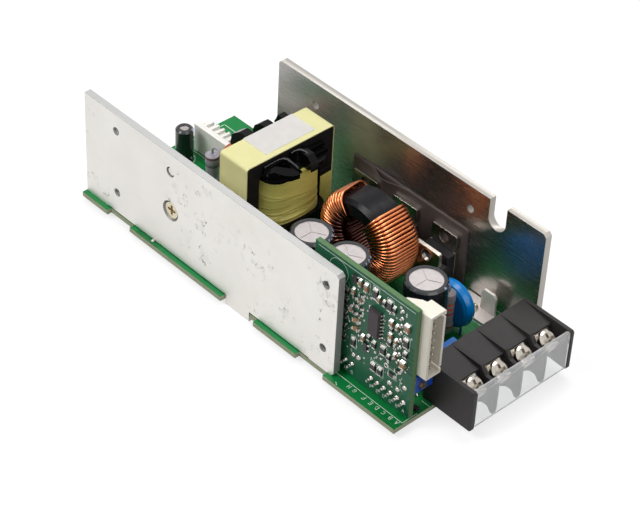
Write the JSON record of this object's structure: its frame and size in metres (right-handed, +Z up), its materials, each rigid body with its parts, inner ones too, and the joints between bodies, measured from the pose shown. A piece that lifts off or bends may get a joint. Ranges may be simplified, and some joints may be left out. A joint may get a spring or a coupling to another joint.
{
  "type": "open-frame switching power supply",
  "caption": "Open-frame power supply: a printed board between two upright aluminium side plates, with transformer, choke, control board and a covered screw terminal block.",
  "frame": {"origin": "centre of the base of the bounding box, level with the ends of the pins below the board", "axes": "+X along the board towards the screw terminal block, +Z up from the board towards the parts, -Y towards the side plate that carries four threaded holes"},
  "size_m": [0.1476, 0.0604, 0.0415],
  "materials": {
    "printed_board": "green solder mask over glass-epoxy laminate",
    "bare_aluminium": "bare rolled sheet, satin outside and bright inside",
    "zinc_steel": "zinc plated, slightly yellow",
    "tinned_copper": "tin plated copper",
    "black_epoxy": "moulded black epoxy",
    "thermal_pad": "grey silicone pad",
    "grey_sheet": "dark insulating film",
    "ferrite": "sintered dark ferrite",
    "yellow_tape": "yellow polyester tape",
    "paper_label": "bare white label",
    "black_bobbin": "moulded black phenolic",
    "enamelled_copper": "clear enamel over copper wire",
    "powder_core": "painted iron powder",
    "capacitor_can": "drawn aluminium",
    "capacitor_sleeve": "black shrunk sleeve",
    "cream_nylon": "moulded natural nylon",
    "grey_resistor": "grey cement coating",
    "brown_coating": "dipped red-brown coating",
    "blue_coating": "dipped blue epoxy",
    "blue_moulding": "moulded blue plastic",
    "brass": "turned brass",
    "tinned_sheet": "tin plated sheet",
    "terminal_plastic": "moulded black plastic, fine texture",
    "terminal_metal": "nickel plated",
    "clear_cover": "clear moulded plastic",
    "brown_ceramic": "sintered brown ceramic",
    "black_ceramic": "black glazed chip"
  },
  "bodies": {
    "supply": {"black_chips": "black_ceramic", "bracket_screw": "zinc_steel", "brown_capacitor": "brown_coating", "brown_chips": "brown_ceramic", "capacitor_1_can": "capacitor_can", "capacitor_1_sleeve": "capacitor_sleeve", "capacitor_2_can": "capacitor_can", "capacitor_2_sleeve": "capacitor_sleeve", "capacitor_3_can": "capacitor_can", "capacitor_3_sleeve": "capacitor_sleeve", "control_board": "printed_board", "control_board_pins": "tinned_copper", "control_board_rail": "black_epoxy", "control_chip": "black_epoxy", "control_chip_leads": "tinned_copper", "disc_capacitor": "blue_coating", "earth_bracket": "tinned_sheet", "far_plate": "bare_aluminium", "film_capacitor": "blue_moulding", "input_header": "cream_nylon", "input_header_pins": "tinned_copper", "insulating_sheet": "grey_sheet", "load_resistor": "grey_resistor", "main_board": "printed_board", "mosfet_body": "black_epoxy", "mosfet_frame": "tinned_copper", "mosfet_nut": "zinc_steel", "mosfet_pad": "thermal_pad", "near_plate": "bare_aluminium", "near_plate_pin": "bare_aluminium", "near_plate_screw": "zinc_steel", "output_header": "cream_nylon", "output_header_pins": "tinned_copper", "rectifier_1_body": "black_epoxy", "rectifier_1_frame": "tinned_copper", "rectifier_2_body": "black_epoxy", "rectifier_2_frame": "tinned_copper", "rectifier_3_body": "black_epoxy", "rectifier_3_frame": "tinned_copper", "regulator_body": "black_epoxy", "regulator_frame": "tinned_copper", "small_capacitor_can": "capacitor_can", "small_capacitor_sleeve": "capacitor_sleeve", "snubber_resistor": "grey_resistor", "terminal_block": "terminal_plastic", "terminal_clamps": "terminal_metal", "terminal_contacts": "terminal_metal", "terminal_screws": "zinc_steel", "toroid_core": "powder_core", "toroid_winding": "enamelled_copper", "transformer_bobbin": "black_bobbin", "transformer_core_lower": "ferrite", "transformer_core_tape": "yellow_tape", "transformer_core_upper": "ferrite", "transformer_label": "paper_label", "transformer_pins": "tinned_copper", "transformer_winding": "yellow_tape", "trimmer_body": "blue_moulding"},
    "cover": {"terminal_cover": "clear_cover"},
    "trimmer": {"trimmer_screw": "brass"}
  },
  "joints": [
    {"name": "cover_hinge", "type": "hinge", "parent": "supply", "child": "cover", "pos_m": [0.0729, 0.00425, 0.01605], "axis": [0, -1, 0], "range_deg": [0, 100]},
    {"name": "trimmer_turn", "type": "hinge", "parent": "supply", "child": "trimmer", "pos_m": [0.0598, -0.0208, 0.01425], "axis": [1, 0, 0], "continuous": true}
  ]
}
